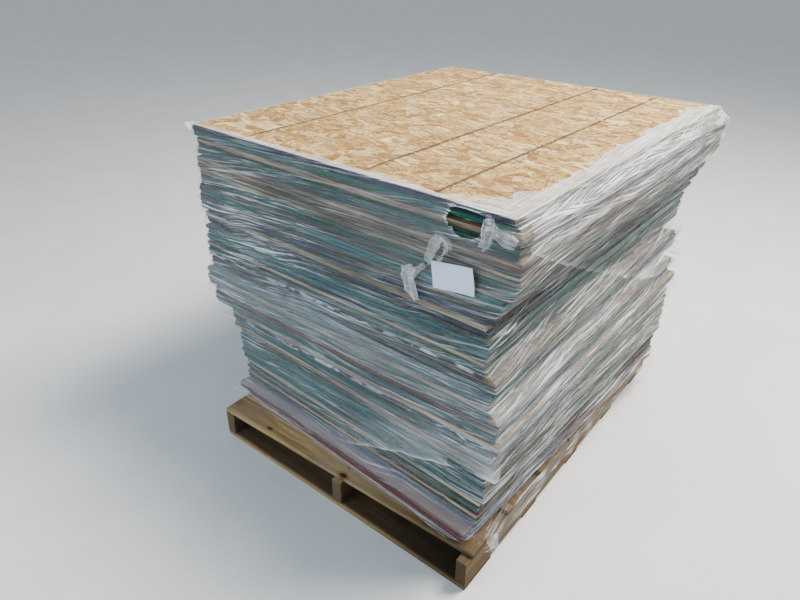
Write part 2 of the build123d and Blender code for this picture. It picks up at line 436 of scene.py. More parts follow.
def edge_material(name, paint=None, upper=None, chips=0.0, blotches=None, wear_and_shade=0.0):
    """A painted mill edge, or a bare one without paint.

    upper is the paint of the sheets higher up, if it differs. chips is how much paint is off,
    blotches the threshold of pale ones, and the last argument how far a bare edge is grey and dark:
    partly wear, partly painted shade, most on the cut edges of the right side.
    """
    t = Tree(name)
    place = t.place()
    colour, height = raw_edge(t, place, wear_and_shade)
    roughness = 0.85
    rim = abs(t.attribute("rise") - 0.5) * 2.0
    if paint is not None:
        if upper is not None:
            paint = t.mix(t.steps(t.height(), 0.30, 0.50), paint, upper)
        lift = 0.72 + t.attribute("tone") * 0.62
        grey = t.node("ShaderNodeCombineColor", Red=lift, Green=lift, Blue=lift)
        painted = t.mix(1.0, paint, t.value(grey), "MULTIPLY")
        streaks = t.noise(place, (4, 4, 240), rough=0.6)
        painted = t.mix(t.steps(streaks, 0.55, 0.75, 0.0, 0.40), painted, rgb(140, 156, 160))
        painted = t.mix(t.steps(streaks, 0.30, 0.50, 0.65, 0.0), painted, rgb(16, 22, 28))
        if blotches is not None:
            spots = t.noise(place, (17, 17, 60), warp=0.6, shift=(3, 3, 3))
            pale = t.steps(spots, blotches, blotches + 0.06, 0.0, 0.9)
            painted = t.mix(pale, painted, rgb(196, 208, 224))
        wear = t.noise(place, (22, 22, 260), shift=(7, 5, 1)) + rim ** 3.0 * 0.07
        bare = t.steps(wear, 0.66 - chips, 0.72 - chips)
        colour = t.mix(bare, painted, colour)
        roughness = t.between(bare, 0.5, 0.85)
    # Painted shade in the gaps between sheets: each edge darkens towards its upper and lower rim,
    # over a width that changes along it.
    dark = t.noise(place, (7, 7, 40), detail=4.0, rough=0.65, shift=(2, 9, 4))
    seam_shade = rim ** t.steps(dark, 0.35, 0.65, 9.0, 2.6)
    colour = t.mix(seam_shade * 0.92, colour, rgb(12, 12, 13))
    soiled = t.noise(place, (3.2, 3.2, 16), detail=6.0, rough=0.7)
    soiled = t.steps(soiled, 0.46, 0.66, 0.0, 0.66) * t.steps(t.height(), *UPPER_SHEETS, 1.0, 0.4)
    colour = t.mix(soiled, colour, rgb(46, 42, 38))
    return t.finish(Base_Color=colour, Roughness=roughness, Specular_IOR_Level=0.15,
                    Normal=t.bump(height, 0.0008, 0.7))


def along_grain(axis, across, along):
    """A scale for each axis: one number along the grain's axis, others across it."""
    return tuple(along if name == axis else scale for name, scale in zip("XYZ", across))


def add_knot(t, colour, knot, fibres, on_deck):
    x, y, size = knot
    across, lengthwise, _ = t.parts(t.vector("SUBTRACT", t.place(), (x, y, 0.0)))
    ring = t.math("SQRT", (across * 0.62) ** 2.0 + lengthwise ** 2.0) + (fibres - 0.5) * 0.004
    halo = t.steps(ring, size * 1.9, size, 0.0, 0.55) * on_deck
    colour = t.mix(halo, colour, rgb(132, 92, 52))
    return t.mix(t.steps(ring, size, size * 0.6) * on_deck, colour, rgb(74, 46, 26))


def wood_material(name, axis, knots=()):
    """Weathered softwood with its grain along one axis, darker on its sawn ends, with painted shade
    inside the pallet and towards its right end.
    """
    t = Tree(name)
    board = t.attribute("tone")
    place = t.vector("ADD", t.place(), t.join(board * 3.1, board * 5.3, board * 7.7))
    stretch = along_grain(axis, (26.0, 26.0, 40.0), 1.1)
    rings = t.noise(place, stretch, detail=4.0, warp=0.9)
    fibres = t.noise(place, along_grain(axis, (340.0, 340.0, 480.0), 9.0), detail=2.0)
    value = rings + (fibres - 0.5) * 0.3 + (board - 0.5) * 0.16
    colour = t.ramp(value, [
        (0.28, rgb(112, 82, 50)), (0.42, rgb(162, 128, 84)), (0.52, rgb(192, 158, 108)),
        (0.66, rgb(212, 180, 132)), (0.8, rgb(226, 200, 160))])
    grey = t.noise(place, 5.0, detail=4.0)
    colour = t.mix(t.steps(grey, 0.40, 0.66, 0.05, 0.5), colour, rgb(156, 140, 118))
    dirt = t.noise(place, (9, 9, 30), detail=5.0, rough=0.65)
    colour = t.mix(t.steps(dirt, 0.58, 0.74, 0.0, 0.6), colour, rgb(78, 64, 50))
    x, y, z = t.parts(t.place())
    on_deck = t.math("GREATER_THAN", z, DECK_BOTTOM)
    for knot in knots:
        colour = add_knot(t, colour, knot, fibres, on_deck)
    cracks = t.noise(place, tuple(s * 2.2 for s in stretch), detail=1.0, warp=0.4)
    cracked = t.steps(abs(cracks - 0.5), 0.0, 0.006, 0.55, 0.0)
    colour = t.mix(cracked, colour, rgb(52, 38, 24))
    normal = t.value(t.node("ShaderNodeNewGeometry"), "True Normal")
    facing = abs(t.parts(normal)["XY".index(axis)])
    sawn = t.steps(facing, 0.8, 0.95) * t.steps(rings, 0.35, 0.6, 0.65, 0.95)
    colour = t.mix(sawn, colour, rgb(96, 76, 56))
    # Painted shade: the wood darkens towards the right end (+x), where the stack and the film shade
    # the near corner.
    colour = t.mix(t.steps(x, 0.05, 0.44, 0.0, 0.74), colour, rgb(54, 42, 29))
    # Painted shade: the pallet's inside, under the deck and between the stringers, is darkened.
    across, lengthwise, below = (
        t.steps(value, *limits) for value, limits in zip((abs(x), abs(y), z), PALLET_INSIDE))
    colour = t.mix(across * lengthwise * below * 0.80, colour, rgb(34, 27, 20))
    return t.finish(Base_Color=colour, Roughness=0.82, Specular_IOR_Level=0.15,
                    Normal=t.bump(value, 0.0014, 0.8))


def film_material(name, threads):
    """Clear stretch film that turns milky where it is gathered or lies in several layers.

    The haze and the even veil of each point come from the mesh; the fine streaks run along the
    wrap, and threads is how strongly they show. The white streaks are partly the film's own
    milkiness and partly painted highlights, the glints of light along its wrinkles.
    """
    t = Tree(name)
    wrap = t.value(t.node("ShaderNodeUVMap", {"uv_map": "wrap"}))
    drift = t.noise(wrap, (1.6, 5.0, 1), detail=2.0)
    bent = t.vector("ADD", wrap, t.join(0.0, (drift - 0.5) * 0.07, 0.0))
    bunches = t.noise(bent, (2.3, 19, 1))
    lines = t.noise(bent, (2.2, 180, 1), rough=0.7)
    hairs = t.noise(bent, (6, 400, 1), detail=2.0, rough=0.7, turn=0.014)
    rising = t.noise(bent, (2.6, 210, 1), detail=2.0, turn=0.13)
    falling = t.noise(bent, (2.8, 220, 1), detail=2.0, turn=-0.21)
    crossing = t.steps(rising, 0.61, 0.66) + t.steps(falling, 0.61, 0.66)
    fine = t.steps(lines, 0.565, 0.605, 0.0, 4.6) + t.steps(hairs, 0.58, 0.63, 0.0, 3.6)
    fine = (fine + crossing * 2.8) * t.steps(bunches, 0.40, 0.60, 0.30, 1.5)
    still = t.steps(bunches, 0.45, 0.72, 1.0 - 0.80 * threads, 0.45)
    # How much white film shows: its milkiness, with painted highlights along the streaks.
    milk_and_glint = t.attribute("haze") * (still + fine * threads) + t.attribute("veil")
    milk_and_glint = t.math("MAXIMUM", t.math("MINIMUM", milk_and_glint, 0.95), 0.015)
    height = bunches + lines * 0.5 + crossing * 0.2
    return t.finish(Base_Color=rgb(240, 244, 248), Roughness=0.25, Alpha=milk_and_glint, IOR=1.5,
                    Normal=t.bump(height, 0.004, 0.9))


def floor_material():
    t = Tree("floor")
    grain = t.noise(t.place(), 3.0, detail=6.0)
    colour = t.ramp(grain, [(0.3, (0.70, 0.70, 0.69, 1)), (0.7, (0.75, 0.75, 0.74, 1))])
    return t.finish(Base_Color=colour, Roughness=0.95)


def paper_material():
    t = Tree("label_paper")
    fibre = t.noise(t.place(), 420.0)
    # The blue tint is painted light: the cool skylight on the shaded front, put into the white
    # paper's colour.
    colour = t.ramp(fibre, [(0.3, rgb(216, 232, 255)), (0.7, rgb(228, 241, 255))])
    crease = t.noise(t.place(), 16.0, detail=2.0)
    return t.finish(Base_Color=colour, Roughness=0.55, Normal=t.bump(crease, 0.0015, 0.5))


def nail_material():
    t = Tree("nail_steel")
    rust = t.noise(t.place(), 300.0)
    colour = t.ramp(rust, [(0.35, rgb(120, 118, 114)), (0.65, rgb(92, 70, 52))])
    return t.finish(Base_Color=colour, Metallic=0.8, Roughness=0.5)


# Panels

EDGE_STEP = 0.019
# Each point's inset and its share of the height, from a sheet's lower face to its upper one
EDGE_ROWS = ((0.0013, 0.0), (0.0002, 0.10), (0.0, 0.5), (0.0002, 0.90), (0.0013, 1.0))
EDGES = {
    "blue": {"paint": rgb(48, 68, 108), "upper": rgb(42, 56, 74)},
    "dusky_red": {"paint": rgb(150, 60, 66), "chips": 0.05},
    "green": {"paint": rgb(14, 76, 64)},
    "navy": {"paint": rgb(22, 30, 62), "blotches": 0.50},
    "red_brown": {"paint": rgb(112, 54, 42), "chips": 0.04},
    "teal": {"paint": rgb(24, 84, 87)},
}
# Heights between which the cut sheets show no paint on the right side
RIGHT_BARE = ((0.910, 0.992), (0.796, 0.832), (0.645, 0.656), (0.295, 0.345), (0.205, 0.240))


def sheet_quads(node):
    """Plan corners, lowest and highest point of each sheet of a CAD node, from the bottom up."""
    points = mesh_points(node)
    heights = sorted(set(np.round(points[:, 2], 5)))
    found = []
    for low, high in zip(heights[0::2], heights[1::2]):
        at = points[np.abs(points[:, 2] - low) < 1e-4][:, :2]
        corners = [at[np.argmax(at @ way)] for way in OUTWARD]
        found.append((np.array(corners), low, high))
    return found


def ragged_outline(corners, rng):
    """Points round a sheet, slightly uneven and with chipped corners.

    With them come their inward directions and the number of the side that each lies on.
    """
    points, inward, numbers = [], [], []
    for number, (here, there) in enumerate(LOOP):
        a, b = corners[here], corners[there]
        length = np.linalg.norm(b - a)
        way = (b - a) / length
        inner = np.array((-way[1], way[0]))
        chip = 0.0015 + 0.006 * rng.random() ** 4
        count = int(length / EDGE_STEP)
        along = np.linspace(chip, length - 0.0018, count)
        uneven = (0.5 + 0.5 * wander(along, 0.11, rng)) * 0.0011 + rng.uniform(0, 0.0006, count)
        bites = rng.random(count) < 0.012
        uneven = uneven + bites * rng.uniform(0.001, 0.0045, count)
        points.append(a + np.outer(along, way) + np.outer(uneven, inner))
        inward += [inner] * count
        numbers += [number] * count
    return np.concatenate(points), np.array(inward), numbers


def ragged_sheets(node, materials, sides):
    """The sheets of one CAD node with worn edges, as one piece that stands for the node.

    materials are the edges', the faces' and the cut edges', and sides gives, for a sheet's
    middle height, which of them each of its four sides has.
    """
    rng = np.random.default_rng(sum(map(ord, node)))      # the same draws for each node's name
    points, faces, indices, tones, rises = [], [], [], [], []
    for corners, low, high in sheet_quads(node):
        outline, inward, numbers = ragged_outline(corners, rng)
        count = len(outline)
        tone = rng.random()
        start = len(points)
        for inset, share in EDGE_ROWS:
            rough = inset + rng.uniform(0, 0.0005, count)
            ring = outline + inward * rough[:, None]
            points += [(x, y, low + (high - low) * share) for x, y in ring]
            tones += [tone] * count
            rises += [share] * count
        slots = sides((low + high) / 2)
        faces += grid_faces(len(EDGE_ROWS), count, start, closed=True)
        indices += [slots[n] for n in numbers] * (len(EDGE_ROWS) - 1)
        faces.append(tuple(range(start, start + count))[::-1])
        faces.append(tuple(range(len(points) - count, len(points))))
        indices += [1, 1]
    piece = add_mesh(node + "_worn", points, faces, materials, indices, flat=True)
    add_values(piece, "tone", tones)
    add_values(piece, "rise", rises)
    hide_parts(node)
    return piece


def painted_sides(middle):
    unpainted = any(low < middle < high for low, high in RIGHT_BARE)
    return (0, 2 if unpainted else 0, 0, 0)


def add_panels():
    face = face_material()
    # Bare and cut edges are darkened by wear and by painted shade; the cut edges face the right
    # side and take the most painted shade.
    bare = edge_material("bare_edge", wear_and_shade=0.28)
    cut = edge_material("cut_edge", wear_and_shade=0.68)
    for node in sorted(NODES):
        if node == "raw_edge_panels":
            piece = ragged_sheets(node, (bare, face, cut), lambda middle: (0, 2, 0, 0))
        elif node.endswith("_edge_panels"):
            name = node[:-len("_edge_panels")]
            edge = edge_material(name + "_edge", **EDGES[name])
            piece = ragged_sheets(node, (edge, face, cut), painted_sides)
    front = edge_material("top_sheet_front", EDGES["navy"]["paint"])
    piece = ragged_sheets("top_panel", (front, top_material(), bare), lambda middle: (0, 2, 2, 2))


# Pallet

# Knots in the lead board, as x, y and size
KNOTS = ((0.038, -0.656, 0.011), (-0.31, -0.655, 0.007), (0.40, -0.662, 0.008))
NAIL_SIDES = 12
NAIL_RINGS = ((0.0042, -0.0006), (0.0042, 0.0005), (0.0034, 0.0011))     # radius and height


def add_nails():
    """Nail heads where boards cross stringers: on the deck and under the bottom boards."""
    points, faces = [], []
    rng = np.random.default_rng(3)
    turns = np.linspace(0, 2 * math.pi, NAIL_SIDES, endpoint=False)
    posts = [sum(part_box(f"stringer_{side}")[k][0] for k in (0, 1)) / 2
             for side in ("left", "middle", "right")]
    for node in sorted(NODES):
        if not node.startswith(("deck_board", "bottom_board")):
            continue
        corners = mesh_points(node)
        up = 1 if node.startswith("deck") else -1
        surface = corners[:, 2].max() if up > 0 else corners[:, 2].min()
        first, last = corners[:, 0].min(), corners[:, 0].max()
        ends = [corners[np.abs(corners[:, 0] - edge) < 0.02][:, 1] for edge in (first, last)]
        middles = [(e.min() + e.max()) / 2 for e in ends]
        for post in posts:
            share = (post - first) / (last - first)
            centre = middles[0] * (1 - share) + middles[1] * share
            for offset in (-0.026, 0.026):
                x = post + rng.uniform(-0.005, 0.005)
                y = centre + offset + rng.uniform(-0.004, 0.004)
                start = len(points)
                for radius, height in NAIL_RINGS:
                    points += [(x + radius * math.cos(a), y + radius * math.sin(a),
                                surface + up * height) for a in turns]
                head = grid_faces(len(NAIL_RINGS), NAIL_SIDES, start, closed=True)
                head.append(tuple(range(len(points) - NAIL_SIDES, len(points))))
                faces += [face[::up] for face in head]
    heads = add_mesh("nail_heads", points, faces, [nail_material()])


def add_pallet():
    boards = wood_material("board_wood", "X", KNOTS)
    stringers = wood_material("stringer_wood", "Y")
    for node in sorted(NODES):
        if node.startswith(("deck_board", "bottom_board", "stringer")):
            materials = NODES[node].data.materials
            materials.clear()
            materials.append(stringers if node.startswith("stringer") else boards)
    add_nails()


# Stretch film

MARGIN = 0.0022          # between a sheet's edge and the innermost film
SLOPE = 1.15             # how steeply the film leaves a sheet that stands out
ROUND = 0.007            # plan radius at the corners
COLUMN, ROW = 0.0155, 0.0029
FINE_COLUMN = 0.005      # round the tear
DECK_TOP = 0.1192
TABLE_LOW, TABLE_HIGH, TABLE_STEP = 0.02, 1.075, 0.001     # heights of FILM_CORNERS
HEM_ROWS, FOLD_ROWS = 30, 30
STRINGER_FACE = 0.5215   # x of the film that hangs down over the right stringer
BRIDGE_BEND = 90         # how sharply a flap bends where it leaves the stack, per metre
# How far each wrap lies outside the taut film
LOWER_LIFT, UPPER_LIFT, OUTER_LIFT, LAST_LIFT = 0.0, 0.0009, 0.0019, 0.0028
SIDE_HAZE = (0.050, 0.094, 0.13, 0.10)        # front, right, back and left
# Outline of the tear, as x and z
TEAR = np.array([
    (0.312, 1.052), (0.330, 1.0565), (0.353, 1.0580), (0.386, 1.0572), (0.408, 1.0545),
    (0.414, 1.040), (0.417, 1.029), (0.406, 1.014), (0.398, 1.001), (0.382, 0.993),
    (0.351, 0.990), (0.331, 0.995), (0.313, 1.010), (0.305, 1.029)])


def all_sheets():
    found = []
    for node in sorted(NODES):
        if node.endswith("_edge_panels") or node == "top_panel":
            found += sheet_quads(node)
    return sorted(found, key=lambda sheet: sheet[1])


SHEETS = all_sheets()
TOP = max(high for _, _, high in SHEETS)


def film_corners():
    """Plan corners of the taut film, one row a millimetre of height."""
    heights = np.arange(TABLE_LOW, TABLE_HIGH, TABLE_STEP)
    reach = np.full((len(heights), 4, 2), -9.0)
    for corners, low, high in SHEETS:
        away = np.maximum(0, np.maximum(low - heights, heights - high))
        reach = np.maximum(reach, (corners * OUTWARD)[None] - SLOPE * away[:, None, None])
    kernel = np.hanning(11)
    kernel /= kernel.sum()
    padded = np.pad(reach, ((5, 5), (0, 0), (0, 0)), mode="edge")
    soft = sum(weight * padded[n:n + len(heights)] for n, weight in enumerate(kernel))
    return np.maximum(soft, reach - 0.0008) * OUTWARD + OUTWARD * MARGIN


FILM_CORNERS = film_corners()
MIDDLE = FILM_CORNERS[len(FILM_CORNERS) // 2]
BESIDE_TOP = FILM_CORNERS[-15]
# The wrap starts at the front's left corner, and its places run from there round the stack
SIDE_LENGTHS = [float(np.linalg.norm(MIDDLE[b] - MIDDLE[a])) for a, b in LOOP]
SIDE_STARTS = [sum(SIDE_LENGTHS[:n]) for n in range(4)]
AROUND = sum(SIDE_LENGTHS)
NEAR_S, FAR_S, BACK_S = SIDE_STARTS[1:]


def side_at(place):
    return max(n for n in range(4) if place >= SIDE_STARTS[n] - 1e-9)


def columns_between(first, last, fine=()):
    """Places round the wrap, closer together at the corners and between the fine pair."""
    places = list(np.arange(*fine, FINE_COLUMN)) if fine else []
    for start, length in zip(SIDE_STARTS, SIDE_LENGTHS):
        count = int((length - 2 * ROUND) / COLUMN)
        places += [start + ROUND * f for f in (0.0, 0.4, 0.75)]
        places += list(np.linspace(start + ROUND, start + length - ROUND, count))
        places += [start + length - ROUND * f for f in (0.75, 0.4)]
    return np.unique([p for p in places if first <= p < last])


def on_wrap(place, heights):
    """Points and outward directions of the taut film at one place round it, for many heights."""
    at = np.clip((heights - TABLE_LOW) / TABLE_STEP, 0, len(FILM_CORNERS) - 1.001)
    cell = at.astype(int)
    part = (at - cell)[:, None, None]
    corners = FILM_CORNERS[cell] * (1 - part) + FILM_CORNERS[cell + 1] * part
    side = side_at(place)
    along = place - SIDE_STARTS[side]
    left = SIDE_LENGTHS[side] - along

    def side_line(n):
        a, b = LOOP[n % 4]
        way = corners[:, b] - corners[:, a]
        length = np.linalg.norm(way, axis=1, keepdims=True)
        way = way / length
        return corners[:, a], way, length, np.stack((way[:, 1], -way[:, 0]), 1)

    start, way, length, normal = side_line(side)
    if along >= ROUND and left >= ROUND:
        share = (along - ROUND) / (SIDE_LENGTHS[side] - 2 * ROUND)
        return start + way * (ROUND + share * (length - 2 * ROUND)), normal
    if along < ROUND:
        _, before, _, first = side_line(side - 1)
        corner, after, second = start, way, normal
        t = 0.5 + 0.5 * along / ROUND
    else:
        corner, before, first = start + way * length, way, normal
        _, after, _, second = side_line(side + 1)
        t = 0.5 - 0.5 * left / ROUND
    point = ((1 - t) ** 2 * (corner - before * ROUND) + 2 * t * (1 - t) * corner
             + t ** 2 * (corner + after * ROUND))
    normal = first * (1 - t) + second * t
    return point, normal / np.linalg.norm(normal, axis=1, keepdims=True)


def creases():
    """Ridges of the film as (place round, height, length, slope, width, amplitude)."""
    rng = np.random.default_rng(11)
    found = []
    for _ in range(430):                                  # all round, densest on the right
        right = rng.random() < 0.45
        place = rng.uniform(NEAR_S, FAR_S) if right else rng.uniform(0, AROUND)
        found.append((place, rng.uniform(0.06, TOP + 0.06), rng.uniform(0.2, 0.95),
                      rng.normal(0, 0.035), rng.uniform(0.0028, 0.0062),
                      rng.uniform(0.0004, 0.0022)))
    for corner in (NEAR_S, FAR_S, BACK_S, 0.0):           # fans that leave the corners
        for _ in range(15 if corner == NEAR_S else 9):
            height = rng.uniform(0.16, TOP)
            for _ in range(rng.integers(4, 9)):
                length = rng.uniform(0.10, 0.45)
                side = rng.choice((-1, 1))
                slope = rng.normal(0, 0.13)
                found.append((corner + side * length * 0.42, height + side * slope * length * 0.42,
                              length, slope, rng.uniform(0.003, 0.006),
                              rng.uniform(0.0008, 0.003)))
    for _ in range(22):                                   # the front's left part, high up
        found.append((rng.uniform(0.0, 0.6), rng.uniform(0.74, 0.92), rng.uniform(0.25, 0.7),
                      rng.uniform(0.04, 0.13), rng.uniform(0.0025, 0.004),
                      rng.uniform(0.004, 0.006)))
    bunches = ((NEAR_S + 0.09, 0.750, 11, 0.0045), (NEAR_S - 0.008, 1.028, 9, 0.0045),
               (NEAR_S - 0.21, 0.86, 6, 0.0025), (0.01, 0.152, 9, 0.005))
    for place, height, count, amount in bunches:
        for _ in range(count):
            found.append((place + rng.normal(0, 0.02), height + rng.normal(0, 0.008),
                          rng.uniform(0.05, 0.13), rng.normal(0, 0.25), 0.0035, amount))
    return found


CREASES = creases()


def crease_field(places, zeta):
    """How far the creases stand out, and how milky they make the film: partly the whitening of
    folded film, partly a painted highlight along each ridge.
    """
    lift = np.zeros_like(zeta)
    milk = np.zeros_like(zeta)
    for place, height, length, slope, width, amplitude in CREASES:
        ahead = (places - place + AROUND / 2) % AROUND - AROUND / 2
        near = np.nonzero(np.abs(ahead) < length / 2)[0]
        ahead = ahead[near]
        taper = 1 - (2 * ahead / length) ** 2
        bend = 0.003 * np.sin(ahead * 9 / length + height * 70)
        off = (zeta[:, near] - height - slope * ahead - bend) / width
        lift[:, near] = np.maximum(lift[:, near], amplitude * (np.exp(-off ** 2) * taper))
        white = np.exp(-(off * 2.3) ** 2) * taper * (0.1 + (amplitude * 260) ** 1.5)
        milk[:, near] = np.maximum(milk[:, near], white)
    return lift, milk


# Milkiness: haze shows as streaks and veil evenly

def side_haze(places):
    """The film's milkiness round the stack: clear in front, whiter on the right; the difference is
    partly painted light, the glare on the lit right side.
    """
    marks = [0, NEAR_S - 0.03, NEAR_S + 0.03, FAR_S - 0.05, FAR_S + 0.05, BACK_S - 0.05,
             BACK_S + 0.05, AROUND]
    return np.interp(places, marks, np.repeat(SIDE_HAZE, 2))


def right_haze(places, heights):
    """How much milkier or clearer the film is at each height of the right side."""
    on_right = ease(places, NEAR_S, NEAR_S + 0.08) * ease(places, FAR_S + 0.1, FAR_S)
    factor = np.interp(heights, [0.10, 0.30, 0.50, 0.62, 0.72, 0.88, 0.96, 1.02, TOP],
                       [1.0, 1.0, 0.88, 0.68, 0.52, 0.75, 1.7, 3.1, 3.7])
    return 1 + (factor - 1) * on_right


def front_veil(places, heights):
    """The even milkiness of the front: most to the left and high up."""
    across = np.interp(places, [0, 0.5, 0.95, NEAR_S - 0.04, NEAR_S, AROUND],
                       [0.055, 0.042, 0.024, 0.01, 0.0, 0.0])
    return across * np.interp(heights, [0.12, 0.30, 0.45, 0.70, 0.95, TOP],
                              [0.9, 1.0, 1.0, 0.9, 1.1, 1.0])


def calm_patch(places, heights):
    """Where the film lies smooth: round the label and the tear, and along the front's foot."""
    upper = (bell(places, NEAR_S - 0.22, 0.26, 4) * ease(heights, 0.80, 0.88)
             * (heights < TOP - 0.001))
    foot = ease(heights, 0.20, 0.17) * (heights > 0.152)
    return upper + foot * ease(places, NEAR_S + 0.02, NEAR_S - 0.03)


def crest_share(places):
    """How much of the creases' milkiness shows: less in front."""
    return np.interp(places, [0, NEAR_S - 0.05, NEAR_S + 0.05, AROUND], [0.17, 0.15, 0.30, 0.28])


def body_haze(places, zeta, milk, lean):
    """The streaks of a wrap: those of its side and height, and those of its creases and slopes."""
    own = side_haze(places) * right_haze(places, zeta)
    return own + milk * crest_share(places) + lean * 0.03


def grid_mesh(name, points, uv, haze, veil, material, closed=False, skip=None, rise=0.0):
    """A film piece from its grid of points, with its wrap coordinates and milkiness.

    rise is how steeply its streaks climb along the wrap.
    """
    rows, count = points.shape[:2]
    faces = np.array(grid_faces(rows, count, closed=closed, skip=skip))
    corner = faces.ravel()
    used = np.zeros(rows * count, bool)
    used[corner] = True
    renumber = np.cumsum(used) - 1
    piece = add_mesh(name, points.reshape(-1, 3)[used], renumber[faces].tolist(), [material])
    coordinates = np.stack(np.broadcast_arrays(*uv), 2).reshape(-1, 2)[corner]
    if closed:
        quads = coordinates.reshape(-1, 4, 2)
        turned = np.ptp(quads[:, :, 0], axis=1) > AROUND / 2
        low = quads[:, :, 0] < AROUND / 2
        quads[:, :, 0] += (turned[:, None] & low) * AROUND
    coordinates[:, 1] -= rise * coordinates[:, 0]
    layer = piece.data.uv_layers.new(name="wrap")
    layer.data.foreach_set("uv", coordinates.astype(np.float32).ravel())
    for key, values in (("haze", haze), ("veil", veil)):
        add_values(piece, key, np.broadcast_to(values, (rows, count)).reshape(-1)[used])
    return piece


def wall_grid(places, lower, upper, lift, rng, bridged=None):
    """Points of a film band between two edge curves, lying lift outside the taut film.

    bridged gives each column a height below which the film hangs straight down from there.
    With them come their heights, the creases' milkiness and how far the film leans outward.
    """
    rows = int(np.max(upper - lower) / ROW) + 2
    zeta = lower + np.linspace(0, 1, rows)[:, None] * (upper - lower)
    raised, milk = crease_field(places, zeta)
    loose = field(places, zeta, 0.12, 0.05, rng) * 0.0006
    points = np.zeros(zeta.shape + (3,))
    for c, place in enumerate(places):
        taken = zeta[:, c]
        if bridged is not None:
            taken = np.logaddexp(taken * BRIDGE_BEND, bridged[c] * BRIDGE_BEND) / BRIDGE_BEND
        at, normal = on_wrap(place, taken)
        points[:, c, :2] = at + normal * (lift + raised[:, c] + loose[:, c])[:, None]
    points[:, :, 2] = zeta
    outward = np.stack([on_wrap(place, zeta[:1, c])[1][0] for c, place in enumerate(places)])
    reach = (points[:, :, :2] * outward[None]).sum(2)
    steepness = -np.gradient(reach, axis=0) / np.maximum(np.gradient(zeta, axis=0), 1e-5)
    return points, zeta, milk, np.clip(steepness, 0, 1)


def top_fold(places, rng):
    """How far the film lies over the top sheet, and how far that moves along the side."""
    width = np.interp(places, [0, 0.03, 0.5, NEAR_S - 0.2, NEAR_S - 0.08, NEAR_S, NEAR_S + 0.1,
                               NEAR_S + 0.25, FAR_S - 0.1, FAR_S, FAR_S + 0.02, AROUND],
                      [0.012, 0.024, 0.026, 0.036, 0.062, 0.085, 0.085,
                       0.056, 0.086, 0.05, 0.008, 0.008])
    ragged = sum(wander(places, step, rng) * amount
                 for step, amount in ((0.16, 0.24), (0.045, 0.14), (0.014, 0.06)))
    width = width * (1 + ragged)
    shift = np.zeros_like(places)
    for corner, reach in ((NEAR_S, 0.085), (FAR_S, 0.05), (BACK_S, 0.008), (0.0, 0.01),
                          (AROUND, 0.01)):
        away = places - corner
        pull = np.sign(away + 1e-9) * width * np.exp(-np.abs(away) / (1.7 * reach))
        shift += np.where(np.abs(away) < 0.5, pull, 0)
    return width, shift


def fold_rows(places, edge, rng):
    """What wall_grid gives, for the rows that carry the upper wrap's edge in over the top sheet."""
    width, shift = top_fold(places, rng)
    share = np.linspace(0, 1, FOLD_ROWS + 1)[1:, None]
    zeta = TOP + share * width
    raised, milk = crease_field(places, zeta)
    points = np.zeros(zeta.shape + (3,))
    for c, place in enumerate(places):
        a, b = LOOP[side_at(place)]
        way = BESIDE_TOP[b] - BESIDE_TOP[a]
        way /= np.linalg.norm(way)
        inward = np.array((-way[1], way[0]))
        points[:, c, :2] = edge[c, :2] + share * (inward * width[c] + way * shift[c])
    rise = np.minimum(1.0, share * width / 0.004)
    points[:, :, 2] = TOP + 0.0009 + (UPPER_LIFT * 0.45 + raised * 0.8) * rise
    return points, zeta, milk, np.zeros_like(zeta)


def hem_rows(places, edge, rng):
    """What wall_grid gives, for the rows of the hem below the lower wrap's edge.

    It hangs over the stringer on the right, and lies on the deck on the other sides.
    """
    share = np.linspace(0, 1, HEM_ROWS + 1)[:-1, None]
    depth = 1 - share
    on_right = (ease(places, NEAR_S + 0.03, NEAR_S + 0.065)
                * ease(places, FAR_S + 0.03, FAR_S - 0.03))
    elsewhere = 1 - on_right
    drop = 0.069 + wander(places, 0.11, rng) * 0.008 + wander(places, 0.02, rng) * 0.003
    skirt = 0.020 + 0.008 * wander(places, 0.13, rng) + 0.003 * wander(places, 0.03, rng)
    skirt = np.where(places > FAR_S + 0.03, 0.004, skirt)
    skirt = skirt * (1 - 0.9 * bell(places, NEAR_S, 0.045, 4))
    crumple = field(places, share, 0.055, 0.30, rng)
    hang = np.maximum(0, STRINGER_FACE - edge[:, 0]) * on_right
    outward = np.maximum(0, crumple) * 0.009 + 0.002
    points = np.zeros(crumple.shape + (3,))
    for c, place in enumerate(places):
        normal = on_wrap(place, np.array([DECK_TOP + 0.003]))[1]
        away = depth * (skirt[c] * elsewhere[c] + outward[:, c:c + 1] * on_right[c])
        points[:, c, :2] = edge[c, :2] + normal * away
    points[:, :, 0] += hang * np.minimum(1, depth / 0.25)
    fall = np.maximum(0, depth - 0.22) / 0.78
    lie = (np.abs(crumple) * 0.0035 * elsewhere - 0.0012) * np.minimum(1, depth * 3)
    points[:, :, 2] = edge[:, 2] - fall * drop * on_right + lie * elsewhere
    zeta = edge[:, 2] - depth * (drop * on_right + skirt * elsewhere)
    milk = ((0.35 + 0.45 * np.abs(crumple) + 1.3 * bell(share, 0.93, 0.07)) * elsewhere
            + (0.65 * np.maximum(0, crumple) - 0.10) * on_right)
    return points, zeta, np.clip(milk, -0.3, 2.0), np.zeros_like(zeta)


def tear_distance(x, z):
    """Distance outside the tear's outline, negative inside, and the outline's nearest point."""
    best = np.full(x.shape, 9.0)
    near_x, near_z = np.zeros_like(x), np.zeros_like(z)
    inside = np.zeros(x.shape, bool)
    for (ax, az), (bx, bz) in zip(TEAR, np.roll(TEAR, -1, axis=0)):
        dx, dz = bx - ax, bz - az
        t = np.clip(((x - ax) * dx + (z - az) * dz) / (dx * dx + dz * dz), 0, 1)
        px, pz = ax + t * dx, az + t * dz
        away = np.hypot(x - px, z - pz)
        closer = away < best
        best = np.where(closer, away, best)
        near_x, near_z = np.where(closer, px, near_x), np.where(closer, pz, near_z)
        crosses = (az > z) != (bz > z)
        inside ^= crosses & (x < ax + (z - az) * dx / (dz if dz else 1e-9))
    return np.where(inside, -best, best), near_x, near_z


